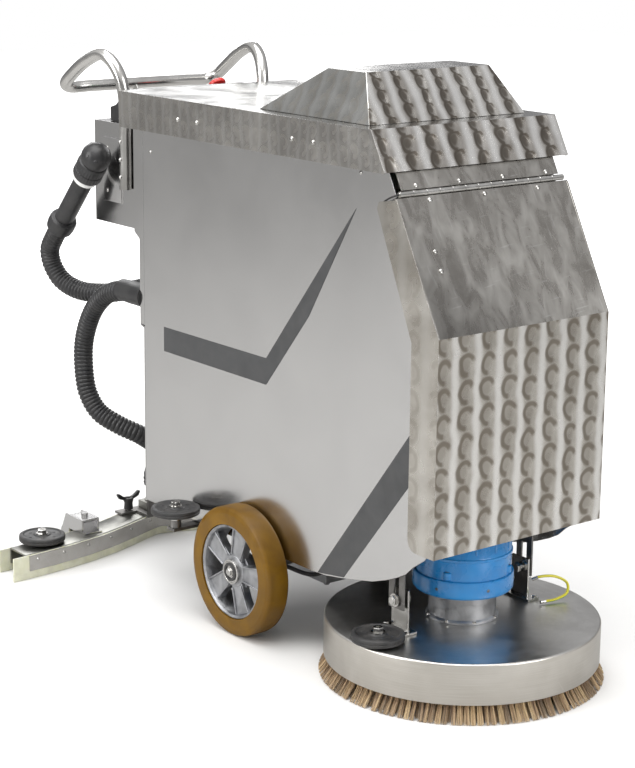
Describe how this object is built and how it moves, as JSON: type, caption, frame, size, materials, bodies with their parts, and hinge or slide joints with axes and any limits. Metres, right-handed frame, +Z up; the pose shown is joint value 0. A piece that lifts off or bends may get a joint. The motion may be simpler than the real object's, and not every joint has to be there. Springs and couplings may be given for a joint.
{
  "type": "wet dry floor scrubber",
  "caption": "Walk-behind wet dry floor scrubber: stainless housing, round brush deck in front, curved squeegee on a tow arm behind, loop handle.",
  "frame": {"origin": "on the floor under the middle of the machine, with the free cords and hoses left out", "axes": "+Z up, the machine drives towards -Y, +X is the machine's left hand"},
  "size_m": [0.834, 1.3669, 1.075],
  "materials": {
    "steel": "satin stainless sheet with soft reflections",
    "swirl": "polished stainless with engine-turned marks",
    "chrome": "polished tube",
    "dark_steel": "plain rolled steel",
    "motor_blue": "gloss blue paint",
    "cast": "cast, slightly rough",
    "black_plastic": "black moulded",
    "rubber": "black, matt",
    "amber_tyre": "amber polyurethane, semi-gloss",
    "blade": "pale translucent polyurethane",
    "bristle": "stiff tan and brown tufts",
    "tank": "translucent moulded",
    "red_plastic": "gloss",
    "green_plastic": "gloss",
    "white_plastic": "gloss",
    "earth_wire": "yellow and green insulation"
  },
  "bodies": {
    "chassis": {"chassis_frame": "dark_steel", "side_panel_right": "steel", "side_panel_left": "steel", "rear_panel": "steel", "front_strip": "steel", "door_hinge_pin": "chrome", "solution_tank": "tank", "recovery_tank": "tank", "battery_front": "black_plastic", "battery_rear": "black_plastic", "suction_motor": "cast", "traction_unit": "cast", "wheel_axle": "dark_steel", "control_box": "steel", "control_cover": "steel", "control_console": "black_plastic", "handle_bar": "chrome", "deck_hanger_right": "steel", "deck_hanger_left": "steel", "suction_hose": "rubber", "drain_hose": "rubber", "drain_pipe": "rubber"},
    "door": {"front_door": "swirl"},
    "lid": {"top_lid": "swirl", "lid_hood": "swirl"},
    "brush_head": {"deck_shell": "steel", "gearbox_flange": "cast", "brush_motor": "motor_blue", "deck_bracket_right": "dark_steel", "deck_bracket_left": "dark_steel", "earth_cable": "earth_wire"},
    "brush": {"brush_hub": "dark_steel", "brush_block": "black_plastic", "bristle_ring": "bristle"},
    "bumper": {"bumper_roller": "rubber"},
    "squeegee": {"squeegee_channel": "steel", "front_blade": "blade", "rear_blade": "blade", "tow_arm": "dark_steel", "support_bracket_right": "steel", "support_bracket_left": "steel"},
    "cap": {"drain_cap": "black_plastic"},
    "stop": {"stop_button": "red_plastic"},
    "key": {"key_switch": "chrome"},
    "brush_switch": {"brush_button": "green_plastic"},
    "vacuum_switch": {"vacuum_button": "white_plastic"},
    "wheel_right": {"tyre_right": "amber_tyre", "wheel_rim_right": "cast", "hub_cap_right": "chrome"},
    "side_roller_body_right": {"side_roller_right": "rubber"},
    "end_roller_body_right": {"end_roller_right": "rubber"},
    "support_wheel_body_right": {"support_wheel_right": "rubber"},
    "knob_right": {"wing_knob_right": "black_plastic"},
    "wheel_left": {"tyre_left": "amber_tyre", "wheel_rim_left": "cast", "hub_cap_left": "chrome"},
    "side_roller_body_left": {"side_roller_left": "rubber"},
    "end_roller_body_left": {"end_roller_left": "rubber"},
    "support_wheel_body_left": {"support_wheel_left": "rubber"},
    "knob_left": {"wing_knob_left": "black_plastic"}
  },
  "joints": [
    {"name": "door_hinge", "type": "hinge", "parent": "chassis", "child": "door", "pos_m": [0, -0.4215, 0.8875], "axis": [-1, 0, 0], "range_deg": [0, 80]},
    {"name": "lid_hinge", "type": "hinge", "parent": "chassis", "child": "lid", "pos_m": [0.2176, 0, 0.93], "axis": [0, 1, 0], "range_deg": [0, 80]},
    {"name": "deck_lift", "type": "slide", "parent": "chassis", "child": "brush_head", "axis": [0, 0, 1], "range_m": [0, 0.035]},
    {"name": "brush_spin", "type": "hinge", "parent": "brush_head", "child": "brush", "pos_m": [0, -0.398, 0.06], "axis": [0, 0, 1], "continuous": true},
    {"name": "bumper_spin", "type": "hinge", "parent": "brush_head", "child": "bumper", "pos_m": [-0.213, -0.416, 0.1175], "axis": [0, 0, 1], "continuous": true},
    {"name": "squeegee_lift", "type": "hinge", "parent": "chassis", "child": "squeegee", "pos_m": [0, 0.294, 0.12], "axis": [1, 0, 0], "range_deg": [0, 8], "deforming": ["suction_hose"]},
    {"name": "wheel_spin_right", "type": "hinge", "parent": "chassis", "child": "wheel_right", "pos_m": [-0.212, -0.007, 0.125], "axis": [1, 0, 0], "continuous": true},
    {"name": "side_roller_spin_right", "type": "hinge", "parent": "chassis", "child": "side_roller_body_right", "pos_m": [-0.233, 0.177, 0.2005], "axis": [0, 0, 1], "continuous": true},
    {"name": "end_roller_spin_right", "type": "hinge", "parent": "squeegee", "child": "end_roller_body_right", "pos_m": [-0.314, 0.552, 0.0615], "axis": [0, 0, 1], "continuous": true},
    {"name": "knob_spin_right", "type": "hinge", "parent": "squeegee", "child": "knob_right", "pos_m": [-0.058, 0.619, 0.07], "axis": [0, 0, 1], "continuous": true},
    {"name": "wheel_spin_left", "type": "hinge", "parent": "chassis", "child": "wheel_left", "pos_m": [0.212, -0.007, 0.125], "axis": [1, 0, 0], "continuous": true},
    {"name": "side_roller_spin_left", "type": "hinge", "parent": "chassis", "child": "side_roller_body_left", "pos_m": [0.233, 0.177, 0.2005], "axis": [0, 0, 1], "continuous": true},
    {"name": "end_roller_spin_left", "type": "hinge", "parent": "squeegee", "child": "end_roller_body_left", "pos_m": [0.314, 0.552, 0.0615], "axis": [0, 0, 1], "continuous": true},
    {"name": "knob_spin_left", "type": "hinge", "parent": "squeegee", "child": "knob_left", "pos_m": [0.058, 0.619, 0.07], "axis": [0, 0, 1], "continuous": true},
    {"name": "support_wheel_spin_right", "type": "hinge", "parent": "squeegee", "child": "support_wheel_body_right", "pos_m": [-0.2, 0.62584, 0.0264], "axis": [1, 0, 0], "continuous": true},
    {"name": "support_wheel_spin_left", "type": "hinge", "parent": "squeegee", "child": "support_wheel_body_left", "pos_m": [0.2, 0.62584, 0.0264], "axis": [1, 0, 0], "continuous": true},
    {"name": "cap_turn", "type": "hinge", "parent": "chassis", "child": "cap", "pos_m": [-0.202, 0.6474, 0.6847], "axis": [-0.0058, -0.6777, 0.7353], "continuous": true},
    {"name": "stop_press", "type": "slide", "parent": "chassis", "child": "stop", "axis": [0, -0.6292, -0.7772], "range_m": [0, 0.005], "stiffness_N_per_m": 600},
    {"name": "brush_press", "type": "slide", "parent": "chassis", "child": "brush_switch", "axis": [0, -0.6292, -0.7772], "range_m": [0, 0.004], "stiffness_N_per_m": 400},
    {"name": "vacuum_press", "type": "slide", "parent": "chassis", "child": "vacuum_switch", "axis": [0, -0.6292, -0.7772], "range_m": [0, 0.004], "stiffness_N_per_m": 400},
    {"name": "key_turn", "type": "hinge", "parent": "chassis", "child": "key", "pos_m": [-0.1, 0.495, 0.967], "axis": [0, 0.6292, 0.7772], "range_deg": [0, 90]}
  ]
}
